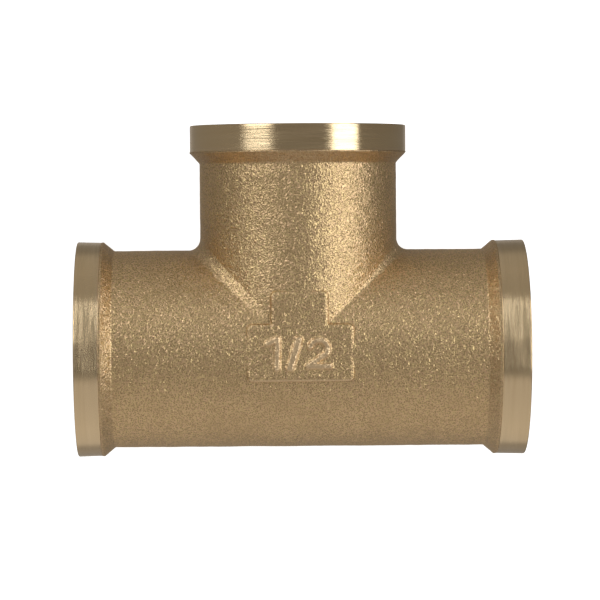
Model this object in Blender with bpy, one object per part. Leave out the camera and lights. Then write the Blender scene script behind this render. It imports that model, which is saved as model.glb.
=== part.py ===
"""A brass equal tee for half-inch threaded pipe.

The casting carries two run ports and a branch port. Each port has a right-hand female thread,
and its end is thickened by a turned band behind a cast shoulder. The pieces are made about the
crossing of the axes, with the run along X, the branch up Z and the marking pad facing -Y. The
whole tee is then laid on its back, as it rests on a table: pad up, branch along +Y.

The real tee is one piece of metal. Its turned bands are kept as nodes of their own, a hair's
breadth from the casting, because they have a finish of their own.
"""

import math

import bmesh
import bpy
from mathutils import Vector

MM = 0.001

# Casting
FACE_REACH = 28.0 * MM  # from the crossing of the axes to each port's face
TUBE_RADIUS = 12.4 * MM
LIP_RADIUS = 13.6 * MM  # the cast lip just behind a band, and the lowest part of the tee
LIP_WIDTH = 0.3 * MM
SHOULDER_WIDTH = 1.3 * MM  # of the slope from the tube up to the lip
CROTCH_FILLET = 1.5 * MM  # where the branch tube meets the run tube
RUN_CORE_RADIUS = 9.0 * MM
BRANCH_CORE_RADIUS = 8.7 * MM

# Turned bands
BAND_RADIUS = 13.5 * MM
BAND_WIDTH = 3.4 * MM
BAND_EDGE = 0.25 * MM
BAND_GAP = 0.05 * MM

# Female thread, 14 turns to the inch, with a 55 degree Whitworth form
THREAD_PITCH = 25.4 * MM / 14
THREAD_MAJOR_RADIUS = 20.955 * MM / 2
THREAD_MINOR_RADIUS = 18.631 * MM / 2
THREAD_DEPTH = 13.4 * MM
THREAD_FLANK_ANGLE = math.radians(27.5)
THREAD_FADE_TURNS = 0.9
MOUTH_RADIUS = 10.9 * MM  # of the 45 degree lead-in chamfer, at the port's face

# Marking pad, a flat upside-down T with the nominal size raised on it
PAD_PLANE = 12.5 * MM  # of the pad's flat front, from the axes
PAD_BACK = 11.0 * MM  # inside the wall
PAD_FOOT_HALF_WIDTH = 6.55 * MM
PAD_STEM_HALF_WIDTH = 3.4 * MM
PAD_BOTTOM, PAD_STEP, PAD_TOP = -3.5 * MM, 3.5 * MM, 7.55 * MM
PAD_CORNER = 0.5 * MM
NUMERAL_HEIGHT = 4.4 * MM
NUMERAL_BOTTOM = -2.4 * MM
NUMERAL_STROKE = 0.62 * MM
NUMERAL_RISE = 0.28 * MM
NUMERAL_ROOT = 0.2 * MM  # how far a numeral reaches into the pad

# Facets
HALF_TURN_STEPS = 24
FILLET_STEPS = 4
THREAD_STEPS = 36
CORE_STEPS = 40
ARC_STEPS = 8
SMOOTH_BELOW = 25  # degrees between faces that are shaded as one

# Turns about Y that bring a piece made on the Z axis to its port
PORT_TURNS = {"left": math.radians(-90), "right": math.radians(90), "branch": 0.0}


def clear_scene():
    for obj in list(bpy.data.objects):
        bpy.data.objects.remove(obj)


def brass(name, colour, roughness):
    material = bpy.data.materials.new(name)
    material.use_nodes = True
    shader = material.node_tree.nodes["Principled BSDF"]
    shader.inputs["Base Color"].default_value = (*colour, 1.0)
    shader.inputs["Roughness"].default_value = roughness
    shader.inputs["Metallic"].default_value = 1.0
    return material


def add_object(name, bm, centre, turn=0.0, material=None, smooth_below=None):
    """Links the finished bmesh as an object, parented to the crossing of the axes."""
    bmesh.ops.recalc_face_normals(bm, faces=bm.faces)
    mesh = bpy.data.meshes.new(name)
    bm.to_mesh(mesh)
    bm.free()
    if smooth_below is not None:
        mesh.shade_smooth()
        mesh.set_sharp_from_angle(angle=smooth_below)
    if material is not None:
        mesh.materials.append(material)
    obj = bpy.data.objects.new(name, mesh)
    bpy.context.scene.collection.objects.link(obj)
    obj.parent = centre
    obj.rotation_euler.y = turn
    return obj


def add_tool(name, bm, centre, turn=0.0):
    """A helper that only cuts the casting or adds to it."""
    obj = add_object(name, bm, centre, turn)
    obj.hide_render = True
    obj.display_type = "WIRE"
    return obj


def combine(target, tool, operation):
    modifier = target.modifiers.new(tool.name, "BOOLEAN")
    modifier.operation = operation
    modifier.solver = "EXACT"
    modifier.object = tool


def join_rings(bm, first, second):
    """Quads, or triangles where two neighbours are one vertex, between two open rows."""
    for i in range(len(first) - 1):
        corners = [first[i], first[i + 1], second[i + 1], second[i]]
        distinct = list(dict.fromkeys(corners))
        if len(distinct) > 2:
            bm.faces.new(distinct)


def turned_rows(bm, profile, directions, axis):
    """A ring of vertices round the axis for each (radius, reach) of the profile."""
    return [
        [bm.verts.new(direction * radius + axis * reach) for direction in directions]
        for radius, reach in profile
    ]


def directions_round_z(steps):
    angles = [math.tau * i / steps for i in range(steps)]
    return [Vector((math.cos(angle), math.sin(angle), 0)) for angle in angles]


def rod(radius, low, high):
    """A round rod about Z."""
    bm = bmesh.new()
    profile = [(radius, low), (radius, high)]
    foot, head = turned_rows(bm, profile, directions_round_z(CORE_STEPS), Vector((0, 0, 1)))
    join_rings(bm, foot + foot[:1], head + head[:1])
    bm.faces.new(foot)
    bm.faces.new(head)
    return bm


def fillet_row(bm, angle, side):
    """Vertices across the crotch fillet, from the run tube to the branch tube.

    A ball of the fillet's radius rolls in the crotch of two equal tubes. Its centre then stays
    in the plane at 45 degrees between their axes, and it touches each tube on the way to that
    tube's axis.
    """
    across, up = math.sin(angle), math.cos(angle)
    to_run = Vector((0, across, up))
    to_branch = Vector((side * up, across, 0))
    centre = Vector((side * up, across, up)) * (TUBE_RADIUS + CROTCH_FILLET)
    touches = [to_run.slerp(to_branch, i / FILLET_STEPS) for i in range(FILLET_STEPS + 1)]
    return [bm.verts.new(centre - touch * CROTCH_FILLET) for touch in touches]


def add_end(bm, rim, directions, axis):
    """The tube's end beyond the crotch: shoulder, lip, the seat of the band, and the face."""
    seat = FACE_REACH - BAND_WIDTH
    profile = [
        (TUBE_RADIUS, seat - LIP_WIDTH - SHOULDER_WIDTH),
        (LIP_RADIUS, seat - LIP_WIDTH),
        (LIP_RADIUS, seat),
        (TUBE_RADIUS, seat),
        (TUBE_RADIUS, FACE_REACH),
    ]
    rows = turned_rows(bm, profile, directions, axis)
    for inner, outer in zip([rim] + rows, rows):
        join_rings(bm, inner + inner[:1], outer + outer[:1])
    bm.faces.new(rows[-1])


def tee_skin():
    """The casting's outside as one closed solid, before the pad is added and the bores cut."""
    bm = bmesh.new()
    last = HALF_TURN_STEPS
    angles = [math.pi * (i / last - 0.5) for i in range(last + 1)]
    front = bm.verts.new((0, -TUBE_RADIUS, 0))
    back = bm.verts.new((0, TUBE_RADIUS, 0))
    ends = {0: front, last: back}

    fillets = {}
    for side in (-1, 1):
        rows = []
        for i, angle in enumerate(angles):
            row = [ends[i]] * (FILLET_STEPS + 1) if i in ends else fillet_row(bm, angle, side)
            rows.append(row)
        for row, following in zip(rows, rows[1:]):
            join_rings(bm, row, following)
        fillets[side] = rows

    belly = [front]
    for angle in angles[1:-1]:
        belly.append(bm.verts.new(Vector((0, math.sin(angle), -math.cos(angle))) * TUBE_RADIUS))
    belly.append(back)

    for side in (-1, 1):
        upper = [row[0] for row in fillets[side]]
        rim = upper + belly[-2:0:-1]
        directions = [Vector((0, v.co.y, v.co.z)).normalized() for v in rim]
        add_end(bm, rim, directions, Vector((side, 0, 0)))

    right = [row[-1] for row in fillets[1]]
    left = [row[-1] for row in fillets[-1]]
    rim = right + left[-2:0:-1]
    directions = [Vector((v.co.x, v.co.y, 0)).normalized() for v in rim]
    add_end(bm, rim, directions, Vector((0, 0, 1)))
    return bm


def thread_profile():
    """(share of the pitch, radius) of the four edges of one groove and the land after it."""
    depth = THREAD_MAJOR_RADIUS - THREAD_MINOR_RADIUS
    flank = depth * math.tan(THREAD_FLANK_ANGLE) / THREAD_PITCH
    flat = 0.5 - flank
    return [
        (0.0, THREAD_MINOR_RADIUS),
        (flank, THREAD_MAJOR_RADIUS),
        (flank + flat, THREAD_MAJOR_RADIUS),
        (2 * flank + flat, THREAD_MINOR_RADIUS),
    ]


def threaded_plug():
    """The shape of the space in a threaded port: a plug about Z with a thread on it.

    Its rows of vertices climb one pitch in a turn, so that the end of each row meets the start
    of the row four further on. The thread fades out at its inner end, where the plug is thinner
    than the cored waterway, and widens to the lead-in chamfer at the port's face.
    """
    bm = bmesh.new()
    start = FACE_REACH - THREAD_DEPTH - THREAD_PITCH
    profile = thread_profile()
    turns = math.ceil((FACE_REACH - start) / THREAD_PITCH) + 1
    rows = len(profile) * turns
    thin = BRANCH_CORE_RADIUS - 0.3 * MM

    columns = []
    for step in range(THREAD_STEPS):
        angle = math.tau * step / THREAD_STEPS
        column = []
        for row in range(rows):
            share, radius = profile[row % len(profile)]
            climbed = row // len(profile) + share + step / THREAD_STEPS
            height = start + climbed * THREAD_PITCH
            grown = min(1.0, climbed / THREAD_FADE_TURNS)
            radius = thin + (radius - thin) * grown
            radius = max(radius, MOUTH_RADIUS - (FACE_REACH - height))
            column.append(bm.verts.new((radius * math.cos(angle), radius * math.sin(angle), height)))
        columns.append(column)

    for column, following in zip(columns, columns[1:]):
        join_rings(bm, column, following)
    shift = len(profile)
    join_rings(bm, columns[-1][:-shift], columns[0][shift:])

    foot = [column[0] for column in columns] + columns[0][shift:0:-1]
    head = [column[-1] for column in columns] + columns[-1][-2 : -2 - shift : -1]
    for loop, height in ((foot, start), (head, columns[-1][-1].co.z)):
        middle = bm.verts.new((0, 0, height))
        for i, vertex in enumerate(loop):
            bm.faces.new((vertex, loop[i - 1], middle))
    return bm


def plate(outline, front, back):
    """An outline in the XZ plane as a plate between two distances towards -Y."""
    bm = bmesh.new()
    near = [bm.verts.new((x, -front, z)) for x, z in outline]
    far = [bm.verts.new((x, -back, z)) for x, z in outline]
    join_rings(bm, near + near[:1], far + far[:1])
    bm.faces.new(near)
    bm.faces.new(far)
    return bm


def pad_outline():
    """The upside-down T, with its corners cut."""
    foot, stem, cut = PAD_FOOT_HALF_WIDTH, PAD_STEM_HALF_WIDTH, PAD_CORNER
    right = [
        (foot - cut, PAD_BOTTOM),
        (foot, PAD_BOTTOM + cut),
        (foot, PAD_STEP - cut),
        (foot - cut, PAD_STEP),
        (stem, PAD_STEP),
        (stem, PAD_TOP - cut),
        (stem - cut, PAD_TOP),
    ]
    return right + [(-x, z) for x, z in reversed(right)]


def thick_line(points, width):
    """The outline of a line drawn through the points, with mitred bends."""
    points = [Vector(p) for p in points]
    sides = []
    for i, point in enumerate(points):
        into = (point - points[i - 1]).normalized() if i else None
        out = (points[i + 1] - point).normalized() if i + 1 < len(points) else None
        along = ((into or out) + (out or into)).normalized()
        across = Vector((-along.y, along.x))
        bend = along.dot(out or into)
        sides.append((point, across * (width / 2 / bend)))
    left = [tuple(point + across) for point, across in sides]
    right = [tuple(point - across) for point, across in sides]
    return left + right[::-1]


def numeral_lines():
    """Centre lines of a plain one, slash and two, as fractions of the numerals' height."""
    bowl_x, bowl_z, bowl_radius = 0.50, 0.65, 0.245
    bowl = []
    for i in range(ARC_STEPS + 1):
        angle = math.radians(165 - 200 * i / ARC_STEPS)
        bowl.append((bowl_x + bowl_radius * math.cos(angle), bowl_z + bowl_radius * math.sin(angle)))
    one = [(-0.92, 0.80), (-0.64, 0.93), (-0.665, 0.10)]
    slash = [(-0.305, 0.11), (-0.055, 0.92)]
    two = bowl + [(0.20, 0.17), (0.79, 0.17)]
    return {"one": one, "slash": slash, "two": two}


def add_pad(casting, centre):
    combine(casting, add_tool("pad_plate", plate(pad_outline(), PAD_PLANE, PAD_BACK), centre), "UNION")
    for name, line in numeral_lines().items():
        points = [(x * NUMERAL_HEIGHT, NUMERAL_BOTTOM + z * NUMERAL_HEIGHT) for x, z in line]
        outline = thick_line(points, NUMERAL_STROKE)
        bm = plate(outline, PAD_PLANE + NUMERAL_RISE, PAD_PLANE - NUMERAL_ROOT)
        combine(casting, add_tool(f"numeral_{name}", bm, centre), "UNION")


def add_casting(centre, material):
    smooth_below = math.radians(SMOOTH_BELOW)
    casting = add_object("tee_body", tee_skin(), centre, 0.0, material, smooth_below)
    add_pad(casting, centre)
    past = FACE_REACH + 1.0 * MM
    run = rod(RUN_CORE_RADIUS, -past, past)
    combine(casting, add_tool("run_waterway", run, centre, PORT_TURNS["right"]), "DIFFERENCE")
    branch = rod(BRANCH_CORE_RADIUS, 0, past)
    combine(casting, add_tool("branch_waterway", branch, centre), "DIFFERENCE")
    for port, turn in PORT_TURNS.items():
        plug = add_tool(f"{port}_thread", threaded_plug(), centre, turn)
        combine(casting, plug, "DIFFERENCE")


def band_ring():
    """A turned band about Z, clear of the tube that it goes round."""
    bm = bmesh.new()
    inside = TUBE_RADIUS + BAND_GAP
    foot = FACE_REACH - BAND_WIDTH + BAND_GAP
    profile = [
        (inside, foot),
        (BAND_RADIUS, foot),
        (BAND_RADIUS, FACE_REACH - BAND_EDGE),
        (BAND_RADIUS - BAND_EDGE, FACE_REACH),
        (inside, FACE_REACH),
    ]
    rows = turned_rows(bm, profile, directions_round_z(2 * HALF_TURN_STEPS), Vector((0, 0, 1)))
    for row, following in zip(rows, rows[1:] + rows[:1]):
        join_rings(bm, row + row[:1], following + following[:1])
    return bm


def main():
    clear_scene()
    centre = bpy.data.objects.new("axes_crossing", None)
    centre.location = (0, (LIP_RADIUS - FACE_REACH) / 2, LIP_RADIUS)
    centre.rotation_euler.x = math.radians(-90)
    bpy.context.scene.collection.objects.link(centre)
    add_casting(centre, brass("cast_brass", (0.50, 0.36, 0.18), 0.55))
    turned = brass("turned_brass", (0.78, 0.64, 0.38), 0.2)
    for port, turn in PORT_TURNS.items():
        add_object(f"{port}_end_band", band_ring(), centre, turn, turned, math.radians(SMOOTH_BELOW))


main()
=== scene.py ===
import math

import bmesh
import bpy
import numpy as np
from mathutils import Euler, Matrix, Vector, noise


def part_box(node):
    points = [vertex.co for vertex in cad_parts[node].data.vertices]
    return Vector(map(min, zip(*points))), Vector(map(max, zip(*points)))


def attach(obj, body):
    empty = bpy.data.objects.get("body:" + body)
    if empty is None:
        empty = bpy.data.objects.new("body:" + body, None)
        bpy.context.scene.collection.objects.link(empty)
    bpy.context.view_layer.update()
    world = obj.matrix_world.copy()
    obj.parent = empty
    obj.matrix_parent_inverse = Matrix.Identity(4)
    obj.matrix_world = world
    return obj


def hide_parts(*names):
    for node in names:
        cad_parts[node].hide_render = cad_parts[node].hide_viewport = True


# The tee is made about the crossing of its axes: run along X, branch along +Y, marking pad up.

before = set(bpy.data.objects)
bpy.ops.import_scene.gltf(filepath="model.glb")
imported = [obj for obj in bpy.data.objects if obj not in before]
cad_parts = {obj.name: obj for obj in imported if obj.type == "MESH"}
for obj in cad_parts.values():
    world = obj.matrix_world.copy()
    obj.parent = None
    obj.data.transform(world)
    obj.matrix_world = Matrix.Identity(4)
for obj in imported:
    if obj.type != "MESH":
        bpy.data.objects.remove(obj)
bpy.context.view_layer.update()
MM = 0.001

RIGHT_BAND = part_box("right_end_band")
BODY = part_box("tee_body")
CROSSING = Vector((0, (RIGHT_BAND[0].y + RIGHT_BAND[1].y) / 2, (RIGHT_BAND[0].z + RIGHT_BAND[1].z) / 2))
FACE_REACH = RIGHT_BAND[1].x
BAND_RADIUS = (RIGHT_BAND[1].z - RIGHT_BAND[0].z) / 2
BRANCH_LIP_RADIUS = (BODY[1].z - BODY[0].z) / 2

# Casting. Where the photo shows it untrue, these sizes follow it rather than the CAD's.
TUBE_RADIUS = 12.35 * MM
SHOULDER_WIDTH = 1.3 * MM
BRANCH_OFFSET = -0.26 * MM  # of the branch's axis from the middle of the run
FILLETS = {  # side: radius in the outline, power of the cosine it follows, and flatness at the front
    -1: (1.5 * MM, -0.15, 1.0),
    1: (1.45 * MM, 1.4, 0.0),
}
PLAIN_REACH = FACE_REACH - 6.0 * MM  # where the plain part of a tube ends
SLEEVE_RADIUS = 11.4 * MM  # where the casting's wall meets the threaded sleeve inside it
SLEEVE_GAP = 0.02 * MM
CORE_RADIUS = 9.0 * MM
BANDS = {  # port: width, and radius at the face and at the seat
    "left": (3.05 * MM, BAND_RADIUS, BAND_RADIUS - 0.09 * MM),
    "right": (3.55 * MM, BAND_RADIUS, BAND_RADIUS - 0.09 * MM),
    "branch": (3.32 * MM, BAND_RADIUS + 0.06 * MM, BAND_RADIUS + 0.05 * MM),
}
LIPS = {  # port: radius and width of the cast lip behind its turned band
    "left": (BAND_RADIUS - 0.05 * MM, 0.25 * MM),
    "right": (BAND_RADIUS - 0.05 * MM, 0.30 * MM),
    "branch": (BRANCH_LIP_RADIUS, 0.12 * MM),
}

PORT_STARTS = {"left": (0, 0, 0), "right": (0, 0, 0), "branch": (BRANCH_OFFSET, 0, 0)}
SKIN_WAVES = ((5.0, 0.045), (1.6, 0.016), (0.75, 0.016))  # length and height, in mm

GRAINS_PER_METRE = 5200.0

# Brown painted shade on the shoulders and in the crotch, from 0 to 1
SHOULDER_PAINTED_SHADE = {"left": 0.22, "right": 0.28, "branch": 0.5}
SHOULDER_PAINTED_SHADE_BLUR = 0.15 * MM
CROTCH_PAINTED_SHADE = 0.5
CROTCH_PAINTED_SHADE_REACH = 7 * MM

# Turned ends
THREAD_END_REACH = FACE_REACH - 13.4 * MM
THREAD_PITCH = 25.4 * MM / 14
THREAD_MAJOR_RADIUS = 20.955 * MM / 2
THREAD_MINOR_RADIUS = 18.631 * MM / 2
THREAD_FOOT_RADIUS = CORE_RADIUS - 0.1 * MM
THREAD_FADE_TURNS = 1.2
MOUTH_RADIUS = 10.9 * MM

# Marking pad
PAD_PLANE = 12.39 * MM
PAD_BACK = 9.6 * MM
PAD_FOOT = ((-0.23 * MM, 0), (6.55 * MM, 3.5 * MM))  # middle, and half width and height
PAD_STEM = ((-0.35 * MM, 5.0 * MM), (3.5 * MM, 2.55 * MM))
PAD_CORNER = 0.7 * MM
PAD_EDGE_RADIUS = 0.9 * MM
PAD_EDGE_WIDTH = 0.5 * MM
PAD_SIDE_SLOPE = 6
PAD_SINK = 0.25 * MM  # of the pad below the tubes' skin, outside its outline
PAD_MARGIN = 0.35 * MM
HIGHLIGHT_BELOW = -3.1 * MM  # a painted highlight runs along the pad's edge under this height
HIGHLIGHT_INSET = 0.08 * MM
HIGHLIGHT_HALF_WIDTH = 0.22 * MM
NUMERAL_HEIGHT = 4.4 * MM
NUMERAL_BOTTOM = -2.4 * MM
NUMERAL_HALF_STROKE = 0.58 * MM
NUMERAL_HALF_TOP = 0.12 * MM
NUMERAL_RISE = 0.27 * MM

# Light tent: across is the angle from straight overhead towards +X, along is the angle towards +Y
PANELS = (  # across, along, the blur of each, and strength
    ((36.5, 65.5), (-18.0, 47.0), (2.5, 5.0), 2.7),
    ((-60.5, -31.5), (8.0, 50.0), (3.0, 4.0), 2.8),
)
WALL_COLOUR = (1.0, 0.95, 0.88)
SHEET_COLOUR = (1.0, 0.96, 0.94)
PANEL_COLOUR = (0.98, 1.0, 1.01)

# Mesh density
HALF_TURN_STEPS = 140
TUBE_ROWS = 64
FILLET_ROWS = 12
THREAD_STEPS = 144
THREAD_ROWS_PER_TURN = 14
PAD_CELL = 0.07 * MM

# Camera
CAMERA_DISTANCE = 390 * MM
CAMERA_LIFT = math.radians(1.9)  # towards the branch
CAMERA_SWING = math.radians(-1.0)  # towards the left port
CAMERA_ROLL = math.radians(-0.35)
VIEW_WIDTH = 75.6 * MM
VIEW_CENTRE = Vector((-0.077, 6.04, 0)) * MM  # from the crossing of the axes


# --- Camera and stage ---------------------------------------------------------------------


def add_camera():
    data = bpy.data.cameras.new("camera")
    data.lens = data.sensor_width * CAMERA_DISTANCE / VIEW_WIDTH
    data.clip_start = 0.01
    camera = bpy.data.objects.new("camera", data)
    turn = Euler((-CAMERA_LIFT, CAMERA_SWING, CAMERA_ROLL))
    camera.rotation_euler = turn
    camera.location = CROSSING + VIEW_CENTRE + turn.to_matrix() @ Vector((0, 0, CAMERA_DISTANCE))
    bpy.context.scene.collection.objects.link(camera)
    bpy.context.scene.camera = camera


class Nodes:
    """Adds nodes to a material's or the world's tree, and links them."""

    def __init__(self, tree):
        self.tree = tree

    def add(self, kind, values=None, **settings):
        node = self.tree.nodes.new("ShaderNode" + kind)
        for name, value in settings.items():
            setattr(node, name, value)
        for socket, value in (values or {}).items():
            self.feed(node.inputs[socket], value)
        return node

    def feed(self, socket, value):
        if isinstance(value, bpy.types.NodeSocket):
            self.tree.links.new(value, socket)
        else:
            socket.default_value = value

    def math(self, operation, a, b=0.0, c=0.0, clamp=False):
        node = self.add("Math", {0: a, 1: b, 2: c}, operation=operation, use_clamp=clamp)
        return node.outputs[0]

    def step(self, value, low, high, start=0.0, end=1.0):
        """Runs smoothly from start to end while the value goes from low to high."""
        values = {"Value": value, "From Min": low, "From Max": high, "To Min": start, "To Max": end}
        return self.add("MapRange", values, interpolation_type="SMOOTHSTEP").outputs[0]

    def window(self, value, low, high, blur):
        """Is 1 while the value lies between low and high, with soft ends, and 0 elsewhere."""
        up = self.step(value, low - blur, low + blur)
        down = self.step(value, high - blur, high + blur, 1.0, 0.0)
        return self.math("MULTIPLY", up, down)

    def mix(self, share, a, b, blend="MIX"):
        node = self.add("Mix", data_type="RGBA", blend_type=blend)
        self.feed(node.inputs[0], share)
        self.feed(node.inputs[6], a)
        self.feed(node.inputs[7], b)
        return node.outputs[2]

    def scaled(self, vector, factor):
        return self.add("VectorMath", {0: vector, "Scale": factor}, operation="SCALE").outputs[0]

    def noise(self, vector, scale, detail=2.0, roughness=0.5):
        values = {"Vector": vector, "Scale": scale, "Detail": detail, "Roughness": roughness}
        return self.add("TexNoise", values).outputs["Fac"]


def light_tent():
    """The world: dim warm walls, a bright sheet on the near side and a cool soft panel either side."""
    world = bpy.data.worlds.new("light_tent")
    world.use_nodes = True
    world.node_tree.nodes.clear()
    n = Nodes(world.node_tree)
    direction = n.add("SeparateXYZ", {0: n.add("TexCoord").outputs["Generated"]})
    x, y, z = direction.outputs
    across = n.math("MULTIPLY", n.math("ARCTAN2", x, z), 180 / math.pi)
    along = n.math("MULTIPLY", n.math("ARCSINE", y), 180 / math.pi)
    walls = n.step(along, 45.0, 62.0, 0.171, 0.30)
    walls = n.math("ADD", walls, n.step(across, -64.0, -56.0, 0.05, 0.0))
    walls = n.math("ADD", walls, n.step(z, -0.98, -0.85, 0.12, 0.0))
    sheet = n.math("ADD", n.step(along, -36.0, -20.0, 0.29, 0.0), n.step(along, -85.0, -40.0, 0.04, 0.0))
    sheet = n.math("MULTIPLY", sheet, n.step(z, -0.66, -0.46, 0.3, 1.0))
    panels = 0.0
    for across_ends, along_ends, (across_blur, along_blur), strength in PANELS:
        columns = n.window(across, *across_ends, across_blur)
        rows = n.window(along, *along_ends, along_blur)
        panels = n.math("MULTIPLY_ADD", n.math("MULTIPLY", columns, rows), strength, panels)
    light = n.scaled(WALL_COLOUR, walls)
    for colour, strength in ((SHEET_COLOUR, sheet), (PANEL_COLOUR, panels)):
        light = n.add("VectorMath", {0: light, 1: n.scaled(colour, strength)}, operation="ADD").outputs[0]
    seen = n.add("LightPath").outputs["Is Camera Ray"]
    shader = n.add("Background", {"Color": n.mix(seen, light, (1.0, 1.0, 1.0, 1.0))})
    output = n.add("OutputWorld")
    n.feed(output.inputs["Surface"], shader.outputs[0])
    bpy.context.scene.world = world


def add_floor():
    """A plain white floor that takes the soft shadow; the brass is lit by the tent alone."""
    bm = bmesh.new()
    bmesh.ops.create_grid(bm, x_segments=1, y_segments=1, size=1.5)
    mesh = bpy.data.meshes.new("floor")
    bm.to_mesh(mesh)
    bm.free()
    material = bpy.data.materials.new("paper")
    material.use_nodes = True
    material.node_tree.nodes.clear()
    n = Nodes(material.node_tree)
    paper = n.add("BsdfDiffuse", {"Color": (0.8, 0.8, 0.8, 1.0)})
    glow = n.add("Emission", {"Color": (1.0, 1.0, 1.0, 1.0), "Strength": 0.85})
    both = n.add("AddShader", {0: paper.outputs[0], 1: glow.outputs[0]})
    output = n.add("OutputMaterial")
    n.feed(output.inputs["Surface"], both.outputs[0])
    mesh.materials.append(material)
    floor = bpy.data.objects.new("floor", mesh)
    floor.visible_glossy = False
    floor.visible_diffuse = False
    floor.visible_shadow = False
    bpy.context.scene.collection.objects.link(floor)


# --- Materials ----------------------------------------------------------------------------


def principled(name):
    material = bpy.data.materials.new(name)
    material.use_nodes = True
    return material, Nodes(material.node_tree), material.node_tree.nodes["Principled BSDF"]


def cast_brass():
    """Sand-cast and blasted brass: a fine bright grain, and brown painted shade on the shoulders and in
    the crotch.

    Each crystal of the grain has its own tint and lean, and a few lean far and sparkle.
    """
    material, n, shader = principled("cast_brass")
    place = n.add("TexCoord").outputs["Object"]
    grit = {"Vector": place, "Scale": GRAINS_PER_METRE, "Smoothness": 0.2}
    grain = n.add("TexVoronoi", grit, feature="SMOOTH_F1").outputs["Distance"]
    crystals = n.add("TexVoronoi", {"Vector": place, "Scale": GRAINS_PER_METRE}).outputs["Color"]
    fine = n.noise(place, GRAINS_PER_METRE, detail=1.0)
    pebbles = n.noise(place, 900, detail=1.0)
    mottle = n.noise(place, 180, detail=3.0, roughness=0.6)
    pits = n.step(grain, 0.15, 0.65)
    hue = n.add("SeparateXYZ", {0: crystals}).outputs[0]
    bright = n.mix(hue, (0.84, 0.575, 0.345, 1.0), (0.80, 0.605, 0.30, 1.0))
    colour = n.mix(pits, (0.43, 0.295, 0.15, 1.0), bright)
    stain = n.step(mottle, 0.42, 0.68, 0.0, 0.30)
    colour = n.mix(stain, colour, (0.60, 0.42, 0.22, 1.0))
    # painted brown shade on the shoulders and in the crotch crease
    painted_shade = n.add("Attribute", attribute_name="painted_shade").outputs["Fac"]
    colour = n.mix(painted_shade, colour, (0.50, 0.365, 0.225, 1.0))
    # worn numerals, and a painted highlight along the pad's low edge
    wear_and_highlight = n.add("Attribute", attribute_name="wear_and_highlight").outputs["Fac"]
    colour = n.mix(wear_and_highlight, colour, (0.86, 0.635, 0.385, 1.0))
    n.feed(shader.inputs["Base Color"], colour)
    n.feed(shader.inputs["Metallic"], 1.0)
    n.feed(shader.inputs["Roughness"], n.step(fine, 0.3, 0.7, 0.38, 0.49))
    height = n.math("MULTIPLY_ADD", fine, 0.8, grain)
    height = n.math("MULTIPLY_ADD", pebbles, 0.35, height)
    lean = n.add("VectorMath", {0: crystals, 1: (0.5, 0.5, 0.5)}, operation="SUBTRACT").outputs[0]
    normal = n.add("NewGeometry").outputs["Normal"]
    chance = n.add("TexWhiteNoise", {"Vector": crystals}).outputs["Value"]
    lean = n.scaled(lean, n.step(chance, 0.70, 0.78, 0.20, 0.50))
    facet = n.add("VectorMath", {0: lean, 1: normal}, operation="ADD").outputs[0]
    facet = n.add("VectorMath", {0: facet}, operation="NORMALIZE").outputs[0]
    values = {"Strength": 1.0, "Distance": 0.034 * MM, "Height": height, "Normal": facet}
    n.feed(shader.inputs["Normal"], n.add("Bump", values).outputs[0])
    return material


def turned_brass():
    """Bright turned brass with fine tool marks round its own Z axis."""
    material, n, shader = principled("turned_brass")
    place = n.add("SeparateXYZ", {0: n.add("TexCoord").outputs["Object"]})
    x, y, z = place.outputs
    radius = n.math("SQRT", n.math("MULTIPLY_ADD", x, x, n.math("MULTIPLY", y, y)))
    outward = n.math("MULTIPLY", radius, 1.3)
    feed = n.math("SUBTRACT", outward, z)
    lathe = n.add("CombineXYZ")
    n.feed(lathe.inputs[0], n.math("MULTIPLY", n.math("DIVIDE", x, radius), 0.6 * MM))
    n.feed(lathe.inputs[1], n.math("MULTIPLY", n.math("DIVIDE", y, radius), 0.6 * MM))
    n.feed(lathe.inputs[2], feed)
    marks = n.noise(lathe.outputs[0], 3600, detail=3.0, roughness=0.65)
    tone = n.noise(lathe.outputs[0], 1500, detail=2.0)
    n.feed(shader.inputs["Base Color"], n.mix(tone, (0.82, 0.62, 0.365, 1.0), (0.92, 0.72, 0.455, 1.0)))
    n.feed(shader.inputs["Metallic"], 1.0)
    rings = n.noise(lathe.outputs[0], 4200, detail=2.0)
    n.feed(shader.inputs["Roughness"], n.step(rings, 0.35, 0.65, 0.195, 0.27))
    values = {"Strength": 1.0, "Distance": 0.045 * MM, "Height": marks}
    n.feed(shader.inputs["Normal"], n.add("Bump", values).outputs[0])
    n.feed(shader.inputs["Anisotropic"], 1.0)
    n.feed(shader.inputs["Anisotropic Rotation"], 0.25)
    n.feed(shader.inputs["Tangent"], n.add("Tangent", direction_type="RADIAL", axis="Z").outputs[0])
    return material


# --- Mesh helpers -------------------------------------------------------------------------


def welded_object(name, patches, material, sharp_above=None):
    """One closed mesh from grids of points, each (rows, columns, 3), that meet edge to edge."""
    points, faces, start = [], [], 0
    for patch in patches:
        rows, columns = patch.shape[:2]
        index = start + np.arange(rows * columns).reshape(rows, columns)
        quads = np.stack([index[:-1, :-1], index[:-1, 1:], index[1:, 1:], index[1:, :-1]], axis=-1)
        points.append(patch.reshape(-1, 3))
        faces.append(quads.reshape(-1, 4))
        start += rows * columns
    mesh = bpy.data.meshes.new(name)
    mesh.from_pydata(np.concatenate(points).tolist(), [], np.concatenate(faces).tolist())
    bm = bmesh.new()
    bm.from_mesh(mesh)
    bmesh.ops.remove_doubles(bm, verts=bm.verts, dist=0.0005 * MM)
    bmesh.ops.dissolve_degenerate(bm, edges=bm.edges, dist=0.0001 * MM)
    rims = [edge for edge in bm.edges if edge.is_boundary]
    if rims:
        bmesh.ops.holes_fill(bm, edges=rims)
    bmesh.ops.recalc_face_normals(bm, faces=bm.faces)
    bm.to_mesh(mesh)
    bm.free()
    mesh.shade_smooth()
    if sharp_above:
        mesh.set_sharp_from_angle(angle=math.radians(sharp_above))
    mesh.materials.append(material)
    piece = bpy.data.objects.new(name, mesh)
    piece.location = CROSSING
    bpy.context.scene.collection.objects.link(piece)
    return piece


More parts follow.
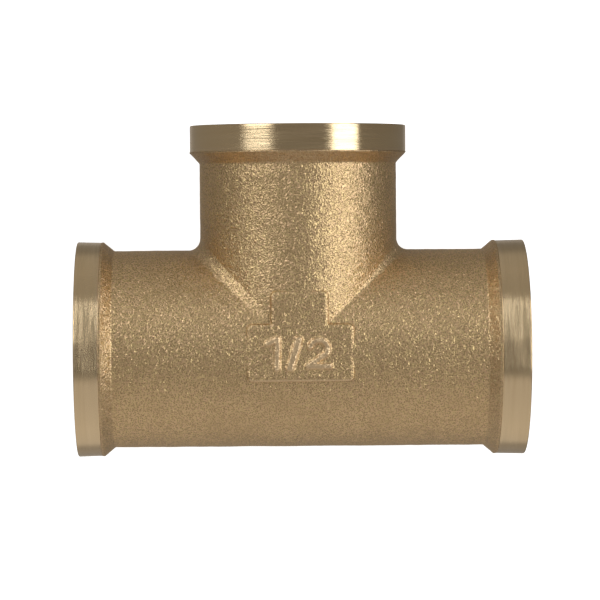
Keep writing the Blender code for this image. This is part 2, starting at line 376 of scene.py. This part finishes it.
def rounded(corners, radii, steps=5):
    """The corners of a (radius, reach) profile, with each inner corner swapped for an arc."""
    corners = [Vector(corner) for corner in corners]
    profile = [corners[0]]
    for before, corner, after, radius in zip(corners, corners[1:], corners[2:], radii):
        if radius:
            into, out = (before - corner).normalized(), (after - corner).normalized()
            half = into.angle(out) / 2
            middle = corner + (into + out).normalized() * (radius / math.sin(half))
            start = (corner + into * (radius / math.tan(half)) - middle).normalized()
            end = (corner + out * (radius / math.tan(half)) - middle).normalized()
            turn = start.angle_signed(end)
            for i in range(steps + 1):
                angle = -turn * i / steps
                cos, sin = math.cos(angle), math.sin(angle)
                spoke = Vector((start.x * cos - start.y * sin, start.x * sin + start.y * cos))
                profile.append(middle + spoke * radius)
        else:
            profile.append(corner)
    return profile + [corners[-1]]


def subdivided(profile, longest):
    """The profile with its long stretches cut into equal parts no longer than that."""
    points = [profile[0]]
    for start, end in zip(profile, profile[1:]):
        parts = max(1, math.ceil((end - start).length / longest))
        points += [start.lerp(end, i / parts) for i in range(1, parts + 1)]
    return points


def ring_patch(profile, directions, axis, start=(0, 0, 0)):
    """A turned patch: one closed row of points for each (radius, reach) of the profile."""
    closed = np.vstack([directions, directions[:1]])
    return np.stack([closed * p.x + axis * p.y for p in profile]) + start


# --- Casting ------------------------------------------------------------------------------


def crotch_fillet(angle, side):
    """Radius and flatness of the fillet: it turns into a chamfer on the left, and fades on the right."""
    radius, power, flatness = FILLETS[side]
    return radius * max(math.cos(angle), 0.2) ** power, flatness * math.sin(angle) ** 2


def tee_patches(radius, fillet_of, foot, rows, fillet_rows):
    """The skin of two equal crossing tubes with a fillet between them, out to the foot.

    For each side, left then right: half of the run's top, of the branch, of the run's belly, and
    the fillet.
    """
    angles = np.linspace(-math.pi / 2, math.pi / 2, HALF_TURN_STEPS + 1)
    up = np.cos(angles)
    up[[0, -1]] = 0.0
    pad_ward = np.sin(angles)
    share = np.linspace(0, 1, rows + 1)[:, None]
    flat = np.ones((rows + 1, len(angles)))
    middle = BRANCH_OFFSET
    patches = []
    for side in (-1, 1):
        fillet, flatness = np.array([fillet_of(angle, side) for angle in angles]).T
        seam = (radius + fillet) * up
        run_start = middle + side * seam
        run = run_start + (side * foot - run_start) * share
        belly = middle + (side * foot - middle) * share * flat
        branch = seam + (foot - seam) * share
        across = middle + side * radius * up * flat
        patches.append(np.stack([run, radius * up * flat, radius * pad_ward * flat], -1))
        patches.append(np.stack([across, branch, radius * pad_ward * flat], -1))
        patches.append(np.stack([belly, -radius * up * flat, radius * pad_ward * flat], -1))
        lines = []
        for cos, sin, ball, chamfer in zip(up, pad_ward, fillet, flatness):
            to_run, to_branch = Vector((0, cos, sin)), Vector((side * cos, 0, sin))
            centre = Vector((side * cos, cos, sin)) * (radius + ball) + Vector((middle, 0, 0))
            line = []
            for i in range(fillet_rows + 1):
                on_arc = to_run.slerp(to_branch, i / fillet_rows)
                on_chord = to_run.lerp(to_branch, i / fillet_rows)
                line.append(centre - on_arc.lerp(on_chord, chamfer) * ball)
            lines.append(line)
        patches.append(np.array(lines))
    return patches


def port_directions():
    """For each port, its axis and the directions round it, in step with the tubes' points."""
    turn = np.arange(2 * HALF_TURN_STEPS) * math.pi / HALF_TURN_STEPS
    zero = np.zeros_like(turn)
    round_x = np.stack([zero, np.cos(turn), np.sin(turn)], -1)
    round_y = np.stack([np.cos(turn), zero, np.sin(turn)], -1)
    return {
        "left": (np.array((-1.0, 0, 0)), round_x),
        "right": (np.array((1.0, 0, 0)), round_x),
        "branch": (np.array((0, 1.0, 0)), round_y),
    }


def roughen(piece):
    """Moves the cast skin in and out a little, as a sand mould leaves it."""
    mesh = piece.data
    count = len(mesh.vertices)
    places, normals = np.zeros(count * 3), np.zeros(count * 3)
    mesh.vertices.foreach_get("co", places)
    mesh.vertex_normals.foreach_get("vector", normals)
    places, normals = places.reshape(-1, 3), normals.reshape(-1, 3)
    heights = np.zeros(count)
    for length, height in SKIN_WAVES:
        scaled = places / (length * MM)
        heights += height * MM * np.array([noise.noise(point) for point in scaled.tolist()])
    mesh.vertices.foreach_set("co", (places + normals * heights[:, None]).ravel())
    mesh.update()


def shoulder_foot(port):
    """How far from the crossing a port's shoulder starts."""
    return FACE_REACH - BANDS[port][0] - LIPS[port][1] - SHOULDER_WIDTH


def end_profile(port):
    """From the end of the plain tube over the shoulder and lip, down the seat and into the bore."""
    lip_radius, lip_width = LIPS[port]
    seat = FACE_REACH - BANDS[port][0]
    lip_start = seat - lip_width
    corners = [
        (TUBE_RADIUS, PLAIN_REACH),
        (TUBE_RADIUS, shoulder_foot(port)),
        (lip_radius, lip_start),
        (lip_radius, seat),
        (SLEEVE_RADIUS, seat),
        (SLEEVE_RADIUS, THREAD_END_REACH),
        (CORE_RADIUS, THREAD_END_REACH),
    ]
    return subdivided(rounded(corners, [0.4 * MM, 0.03 * MM, 0.03 * MM, 0, 0]), 0.2 * MM)


def add_painted_shade(piece):
    """Marks the shoulders and the sides of the crotch with painted brown shade."""
    mesh = piece.data
    places = np.zeros(len(mesh.vertices) * 3)
    mesh.vertices.foreach_get("co", places)
    x, y, z = places.reshape(-1, 3).T
    corner = np.sqrt((np.abs(x) - TUBE_RADIUS) ** 2 + (y - TUBE_RADIUS) ** 2 + z**2)
    # painted shade, strongest in the crease where the tubes meet
    value = CROTCH_PAINTED_SHADE * np.clip(1 - corner / CROTCH_PAINTED_SHADE_REACH, 0, 1)
    for port, reach in (("left", -x), ("right", x), ("branch", y)):
        share = np.clip((reach - shoulder_foot(port)) / SHOULDER_PAINTED_SHADE_BLUR + 0.5, 0, 1)
        value = np.maximum(value, SHOULDER_PAINTED_SHADE[port] * share)
    painted_shade = mesh.attributes.new("painted_shade", "FLOAT", "POINT")
    painted_shade.data.foreach_set("value", value)


def add_casting(material):
    patches = tee_patches(TUBE_RADIUS, crotch_fillet, PLAIN_REACH, TUBE_ROWS, FILLET_ROWS)
    inner = tee_patches(CORE_RADIUS, lambda angle, side: (0.5 * MM, 0.0), THREAD_END_REACH, 12, 3)
    for port, (axis, directions) in port_directions().items():
        patches.append(ring_patch(end_profile(port), directions, axis, PORT_STARTS[port]))
    casting = welded_object("tee_casting", patches + inner, material, sharp_above=60)
    add_painted_shade(casting)
    roughen(casting)
    return casting


# --- Marking pad --------------------------------------------------------------------------


def box_distance(x, y, box, corner):
    """Signed distance to a rectangle with round corners."""
    (middle_x, middle_y), (half_x, half_y) = box
    over_x = np.abs(x - middle_x) - half_x + corner
    over_y = np.abs(y - middle_y) - half_y + corner
    outside = np.hypot(np.maximum(over_x, 0), np.maximum(over_y, 0))
    return outside + np.minimum(np.maximum(over_x, over_y), 0) - corner


def line_distance(x, y, points):
    """Distance to a line through the points."""
    nearest = np.full_like(x, 1.0)
    for (x0, y0), (x1, y1) in zip(points, points[1:]):
        dx, dy = x1 - x0, y1 - y0
        share = np.clip(((x - x0) * dx + (y - y0) * dy) / (dx * dx + dy * dy), 0, 1)
        nearest = np.minimum(nearest, np.hypot(x - x0 - share * dx, y - y0 - share * dy))
    return nearest


def numeral_lines():
    """Centre lines of a plain one, slash and two, as fractions of the numerals' height."""
    bowl_x, bowl_y, bowl_radius = 0.45, 0.65, 0.245
    bowl = []
    for degrees in np.linspace(165, -35, 17):
        angle = math.radians(degrees)
        bowl.append((bowl_x + bowl_radius * math.cos(angle), bowl_y + bowl_radius * math.sin(angle)))
    one = [(-0.97, 0.80), (-0.69, 0.93), (-0.715, 0.10)]
    slash = [(-0.38, 0.11), (-0.13, 0.92), (-0.08, 0.92), (-0.33, 0.11)]
    two = bowl + [(0.15, 0.17), (0.74, 0.17)]
    lines = (one, slash, two)
    return [[(x * NUMERAL_HEIGHT, NUMERAL_BOTTOM + y * NUMERAL_HEIGHT) for x, y in line] for line in lines]


def eased(value):
    return value * value * (3 - 2 * value)


def pad_outside(x, y):
    """Signed distance to the outline of the pad."""
    foot, stem = (box_distance(x, y, box, PAD_CORNER) for box in (PAD_FOOT, PAD_STEM))
    return np.minimum(foot, stem)


def numeral_rise(x, y):
    """From 0 beside the numerals to 1 along the middle of their strokes."""
    line = np.minimum.reduce([line_distance(x, y, points) for points in numeral_lines()])
    wall = (NUMERAL_HALF_STROKE - line) / (NUMERAL_HALF_STROKE - NUMERAL_HALF_TOP)
    return eased(np.clip(wall, 0, 1))


def add_wear_and_highlight(pad):
    """Marks the numerals, which are rubbed bright, and paints a highlight along the low edge of the pad.
    """
    places = np.zeros(len(pad.data.vertices) * 3)
    pad.data.vertices.foreach_get("co", places)
    x, y = places.reshape(-1, 3).T[:2]
    # painted highlight along the pad's low edge
    edge = np.clip(1 - np.abs(pad_outside(x, y) + HIGHLIGHT_INSET) / HIGHLIGHT_HALF_WIDTH, 0, 1)
    edge *= y < HIGHLIGHT_BELOW
    wear_and_highlight = pad.data.attributes.new("wear_and_highlight", "FLOAT", "POINT")
    wear_and_highlight.data.foreach_set("value", np.maximum(edge, 0.9 * numeral_rise(x, y)))


def add_pad(material):
    (foot_x, foot_y), (foot_half_width, foot_half_height) = PAD_FOOT
    left = foot_x - foot_half_width - PAD_MARGIN
    right = foot_x + foot_half_width + PAD_MARGIN
    low = foot_y - foot_half_height - PAD_MARGIN
    high = PAD_STEM[0][1] + PAD_STEM[1][1] + PAD_MARGIN
    columns = round((right - left) / PAD_CELL)
    rows = round((high - low) / PAD_CELL)
    x, y = np.meshgrid(np.linspace(left, right, columns), np.linspace(low, high, rows))
    outside = pad_outside(x, y)
    onto_edge = np.clip(outside + PAD_EDGE_WIDTH, 0, PAD_EDGE_WIDTH)
    drop = PAD_EDGE_RADIUS - np.sqrt(PAD_EDGE_RADIUS**2 - onto_edge**2)
    drop += np.maximum(outside, 0) * PAD_SIDE_SLOPE
    plate = PAD_PLANE - drop + NUMERAL_RISE * numeral_rise(x, y)
    run_skin = np.sqrt(TUBE_RADIUS**2 - y**2)
    branch_skin = np.where(y > 0, np.sqrt(TUBE_RADIUS**2 - x**2), 0)
    below_skin = np.maximum(run_skin, branch_skin) - PAD_SINK
    shell = np.stack([x, y, np.maximum(plate, below_skin)], -1)
    pad = welded_object("marking_pad", [shell, *skirt(shell)], material)
    add_wear_and_highlight(pad)
    roughen(pad)
    return pad


def skirt(shell):
    """The four sides below a grid of points, down to the pad's back."""
    sides = []
    for rim in (shell[0], shell[-1], shell[:, 0], shell[:, -1]):
        lower = rim.copy()
        lower[:, 2] = PAD_BACK
        sides.append(np.stack([rim, lower]))
    return sides


# --- Turned ends --------------------------------------------------------------------------


def thread_radius(turns):
    """Radius of the thread's surface at a share of the pitch, with round crests and roots."""
    share = turns - np.floor(turns)
    height = 2 * np.abs(share - 0.5)
    flank = eased(np.clip((height - 0.5) * 1.5 + 0.5, 0, 1))
    return THREAD_MINOR_RADIUS + (THREAD_MAJOR_RADIUS - THREAD_MINOR_RADIUS) * flank


def thread_patch():
    """The thread's surface in rows that climb one pitch in a turn, cut off flat at both ends."""
    turn_count = math.ceil((FACE_REACH - THREAD_END_REACH) / THREAD_PITCH) + 2
    turns = np.arange(0, turn_count, 1 / THREAD_ROWS_PER_TURN)
    share = np.linspace(0, 1, THREAD_STEPS + 1)
    climbed = turns[:, None] - 1 + share
    height = np.clip(THREAD_END_REACH + climbed * THREAD_PITCH, THREAD_END_REACH, FACE_REACH)
    radius = np.repeat(thread_radius(turns)[:, None], len(share), axis=1)
    depth = FACE_REACH - height
    grown = np.clip((height - THREAD_END_REACH) / (THREAD_FADE_TURNS * THREAD_PITCH), 0, 1)
    radius = THREAD_FOOT_RADIUS + (radius - THREAD_FOOT_RADIUS) * grown
    radius = np.where(depth < 1e-9, MOUTH_RADIUS, np.maximum(radius, MOUTH_RADIUS - depth))
    angle = share * math.tau
    return np.stack([radius * np.cos(angle), radius * np.sin(angle), height], -1)


def add_turned_end(port, direction, material):
    """One machined end: band, face, lead-in and thread, turned about its own Z axis."""
    width, face_radius, seat_radius = BANDS[port]
    seat = FACE_REACH - width
    corners = [
        (MOUTH_RADIUS, FACE_REACH),
        (face_radius, FACE_REACH),
        (seat_radius, seat),
        (SLEEVE_RADIUS - SLEEVE_GAP, seat),
        (SLEEVE_RADIUS - SLEEVE_GAP, THREAD_END_REACH),
        (THREAD_FOOT_RADIUS, THREAD_END_REACH),
    ]
    profile = subdivided(rounded(corners, [0.15 * MM, 0.05 * MM, 0, 0]), 0.5 * MM)
    turn = np.arange(THREAD_STEPS) * math.tau / THREAD_STEPS
    directions = np.stack([np.cos(turn), np.sin(turn), np.zeros_like(turn)], -1)
    outside = ring_patch(profile, directions, np.array((0, 0, 1.0)))
    end = welded_object(f"{port}_turned_end", [outside, thread_patch()], material, sharp_above=35)
    end.location = CROSSING + Vector(PORT_STARTS[port])
    end.rotation_mode = "QUATERNION"
    end.rotation_quaternion = Vector(direction).to_track_quat("Z", "X")
    return end


# --- Assembly -----------------------------------------------------------------------------


def main():
    add_camera()
    light_tent()
    add_floor()
    bpy.context.scene.view_settings.view_transform = "Standard"

    cast = cast_brass()
    for piece in (add_casting(cast), add_pad(cast)):
        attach(piece, "root")
        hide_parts("tee_body")

    turned = turned_brass()
    for port, direction in (("left", (-1, 0, 0)), ("right", (1, 0, 0)), ("branch", (0, 1, 0))):
        end = add_turned_end(port, direction, turned)
        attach(end, "root")
        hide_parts(f"{port}_end_band")


main()
